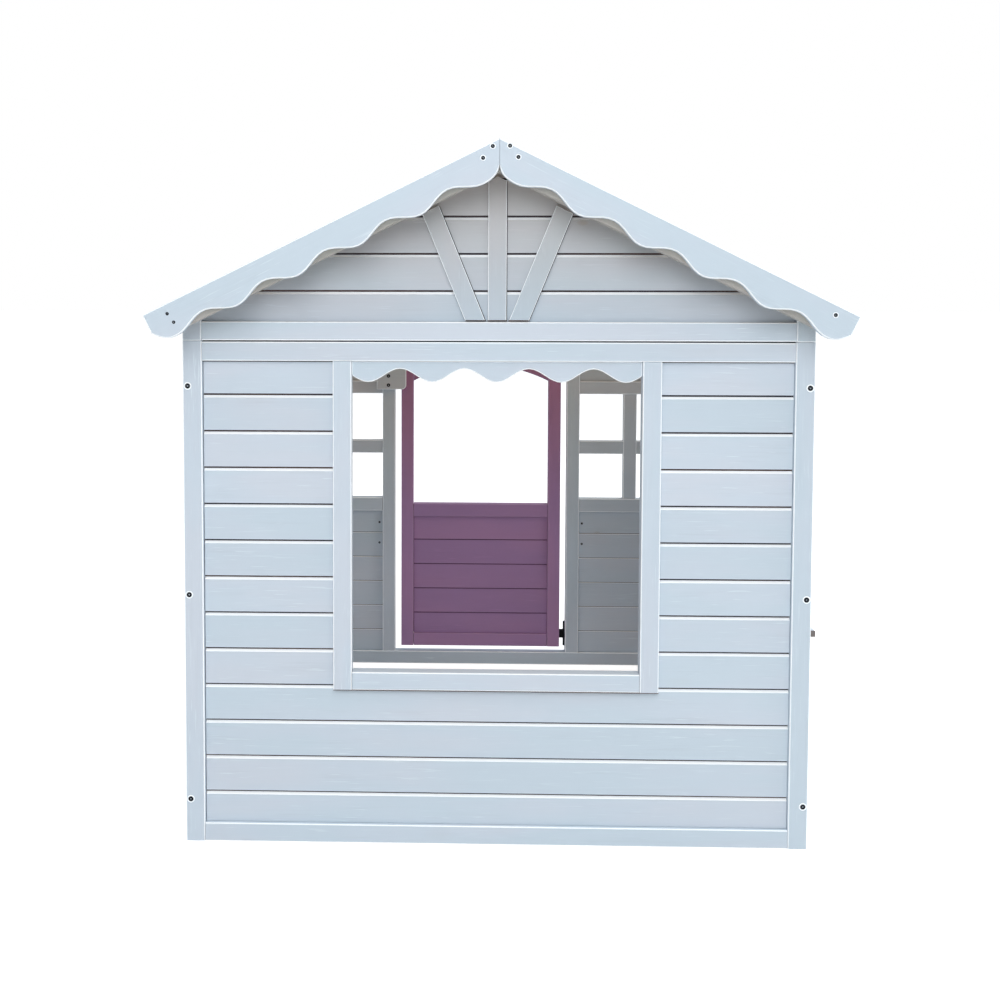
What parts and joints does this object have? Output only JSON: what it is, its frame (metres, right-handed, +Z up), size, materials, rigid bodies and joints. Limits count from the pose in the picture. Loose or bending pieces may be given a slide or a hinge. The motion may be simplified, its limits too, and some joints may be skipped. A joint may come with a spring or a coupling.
{
  "type": "playhouse",
  "caption": "Timber children's playhouse with a gabled roof, scalloped bargeboards, serving windows and a purple half-height door on tee hinges.",
  "frame": {"origin": "centre of the bounding box on the ground", "axes": "+Z up, +Y from the serving-window wall to the door wall, +X to the right for someone facing the serving window from outside"},
  "size_m": [1.3114, 1.288, 1.3484],
  "materials": {
    "white_paint": "satin white paint or stain on softwood",
    "purple_paint": "satin purple paint on softwood",
    "black_hinge": "black coated steel"
  },
  "bodies": {
    "house": {"back_bargeboard_left": "white_paint", "back_bargeboard_right": "white_paint", "back_boards_left": "white_paint", "back_boards_right": "white_paint", "back_bottom_rail": "white_paint", "back_door_post_left": "white_paint", "back_door_post_right": "white_paint", "back_door_stop": "white_paint", "back_gable_boards": "white_paint", "back_lattice_left": "white_paint", "back_lattice_right": "white_paint", "back_post_left": "white_paint", "back_post_right": "white_paint", "back_rafters": "white_paint", "back_sill_left": "white_paint", "back_sill_right": "white_paint", "back_top_rail": "white_paint", "back_window_head_left": "white_paint", "back_window_head_right": "white_paint", "eaves_plate_left": "white_paint", "eaves_plate_right": "white_paint", "flower_box_left": "white_paint", "flower_box_right": "white_paint", "front_bargeboard_left": "white_paint", "front_bargeboard_right": "white_paint", "front_boards": "white_paint", "front_bottom_rail": "white_paint", "front_brace_left": "white_paint", "front_brace_right": "white_paint", "front_gable_boards": "white_paint", "front_gable_rail": "white_paint", "front_king_post": "white_paint", "front_post_left": "white_paint", "front_post_right": "white_paint", "front_rafters": "white_paint", "front_top_rail": "white_paint", "front_valance": "white_paint", "front_window_post_left": "white_paint", "front_window_post_right": "white_paint", "front_window_sill": "white_paint", "hinge_leaf_high": "black_hinge", "hinge_leaf_low": "black_hinge", "left_boards": "white_paint", "left_window_post_back": "white_paint", "left_window_post_front": "white_paint", "left_window_sill": "white_paint", "right_boards": "white_paint", "right_counter": "white_paint", "right_window_post_back": "white_paint", "right_window_post_front": "white_paint", "roof_deck_left": "white_paint", "roof_deck_right": "white_paint"},
    "door": {"door_boards": "purple_paint", "door_bottom_rail": "purple_paint", "door_head": "purple_paint", "door_mid_rail": "purple_paint", "door_stile_left": "purple_paint", "door_stile_right": "purple_paint", "hinge_strap_high": "black_hinge", "hinge_strap_low": "black_hinge"}
  },
  "joints": [
    {"name": "door_hinge", "type": "hinge", "parent": "house", "child": "door", "pos_m": [0.2435, 0.5684, 0.489], "axis": [0, 0, -1], "range_deg": [0, 110]}
  ]
}
